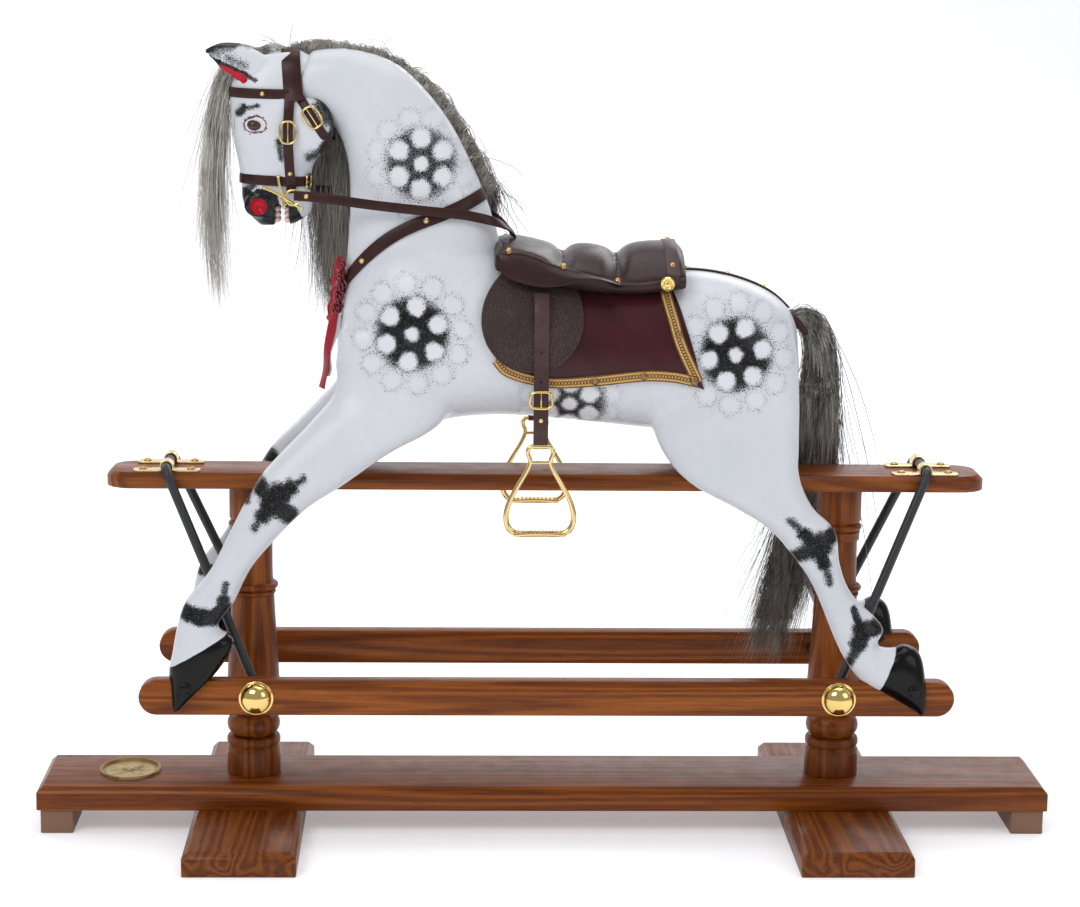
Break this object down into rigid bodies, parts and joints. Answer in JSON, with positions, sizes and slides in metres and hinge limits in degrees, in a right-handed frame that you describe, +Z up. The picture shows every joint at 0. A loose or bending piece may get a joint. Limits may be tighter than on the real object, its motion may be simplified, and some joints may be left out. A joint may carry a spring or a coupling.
{
  "type": "rocking horse",
  "caption": "Dapple painted wooden rocking horse with saddle and bridle, swinging on two bent irons above a floor stand with turned posts.",
  "frame": {"origin": "floor under the centre of the stand", "axes": "+Z up, the horse looks toward -X, its near side is -Y"},
  "size_m": [1.372, 0.531, 1.066],
  "materials": {
    "stained_wood": "gloss varnish over brown stain",
    "dark_wood": "satin varnish",
    "brass": "polished",
    "dull_brass": "aged",
    "steel": "plain",
    "black_iron": "gloss black",
    "painted_wood": "satin dapple grey paint",
    "glass_eye": "clear gloss",
    "grey_hair": "natural hair",
    "dark_leather": "satin",
    "pebbled_leather": "pebbled",
    "maroon_cloth": "gloss",
    "gold_braid": "woven",
    "red_ribbon": "satin ribbon"
  },
  "bodies": {
    "stand": {"base_beam": "stained_wood", "front_cross_piece": "stained_wood", "rear_cross_piece": "stained_wood", "front_end_block": "dark_wood", "rear_end_block": "dark_wood", "front_post": "stained_wood", "rear_post": "stained_wood", "top_rail": "stained_wood", "front_brackets": "brass", "rear_brackets": "brass", "bracket_screws": "dull_brass", "base_screws": "steel", "cast_plate": "dull_brass"},
    "front_iron": {"front_swing_iron": "black_iron"},
    "rear_iron": {"rear_swing_iron": "black_iron"},
    "near_leather": {"near_stirrup_leather": "dark_leather", "near_stirrup_buckle": "brass"},
    "far_leather": {"far_stirrup_leather": "dark_leather", "far_stirrup_buckle": "brass"},
    "near_stirrup": {"near_stirrup_iron": "brass"},
    "far_stirrup": {"far_stirrup_iron": "brass"},
    "horse": {"near_hoof_rail": "stained_wood", "far_hoof_rail": "stained_wood", "dome_caps": "brass", "hoof_bolts": "black_iron", "torso": "painted_wood", "neck": "painted_wood", "head": "painted_wood", "ears": "painted_wood", "near_foreleg": "painted_wood", "far_foreleg": "painted_wood", "near_hindleg": "painted_wood", "far_hindleg": "painted_wood", "eyes": "glass_eye", "mane": "grey_hair", "forelock": "grey_hair", "tail": "grey_hair", "saddle_seat": "dark_leather", "near_skirt": "dark_leather", "far_skirt": "dark_leather", "near_flap": "pebbled_leather", "far_flap": "pebbled_leather", "saddle_cloth": "maroon_cloth", "cloth_braid": "gold_braid", "saddle_studs": "brass", "crupper_strap": "dark_leather", "breast_strap": "dark_leather", "rosettes": "red_ribbon", "ribbon": "red_ribbon", "headpiece": "dark_leather", "browband": "dark_leather", "cheek_straps": "dark_leather", "throat_latch": "dark_leather", "noseband": "dark_leather", "bridle_buckles": "brass", "bit": "brass", "reins": "dark_leather"}
  },
  "joints": [
    {"name": "front_iron_swing", "type": "hinge", "parent": "stand", "child": "front_iron", "pos_m": [-0.51, 0, 0.49665], "axis": [0, 1, 0], "range_deg": [-12, 12]},
    {"name": "horse_pivot", "type": "hinge", "parent": "front_iron", "child": "horse", "pos_m": [-0.385, 0, 0.2084], "axis": [0, 1, 0], "range_deg": [-16, 16]},
    {"name": "rear_iron_swing", "type": "hinge", "parent": "stand", "child": "rear_iron", "pos_m": [0.51, 0, 0.49665], "axis": [0, 1, 0], "range_deg": [-12, 12]},
    {"name": "near_leather_swing", "type": "hinge", "parent": "horse", "child": "near_leather", "pos_m": [-0.013, -0.1, 0.75], "axis": [0, 1, 0], "range_deg": [-20, 20]},
    {"name": "far_leather_swing", "type": "hinge", "parent": "horse", "child": "far_leather", "pos_m": [-0.013, 0.1, 0.75], "axis": [0, 1, 0], "range_deg": [-20, 20]},
    {"name": "near_stirrup_swing", "type": "hinge", "parent": "near_leather", "child": "near_stirrup", "pos_m": [-0.013, -0.1161, 0.538], "axis": [1, 0, 0], "range_deg": [-45, 20]},
    {"name": "far_stirrup_swing", "type": "hinge", "parent": "far_leather", "child": "far_stirrup", "pos_m": [-0.013, 0.1161, 0.538], "axis": [1, 0, 0], "range_deg": [-20, 45]}
  ],
  "couplings": [
    {"joint": "horse_pivot", "follows": "front_iron_swing", "ratio": -1.3247},
    {"joint": "rear_iron_swing", "follows": "front_iron_swing", "ratio": 1}
  ]
}
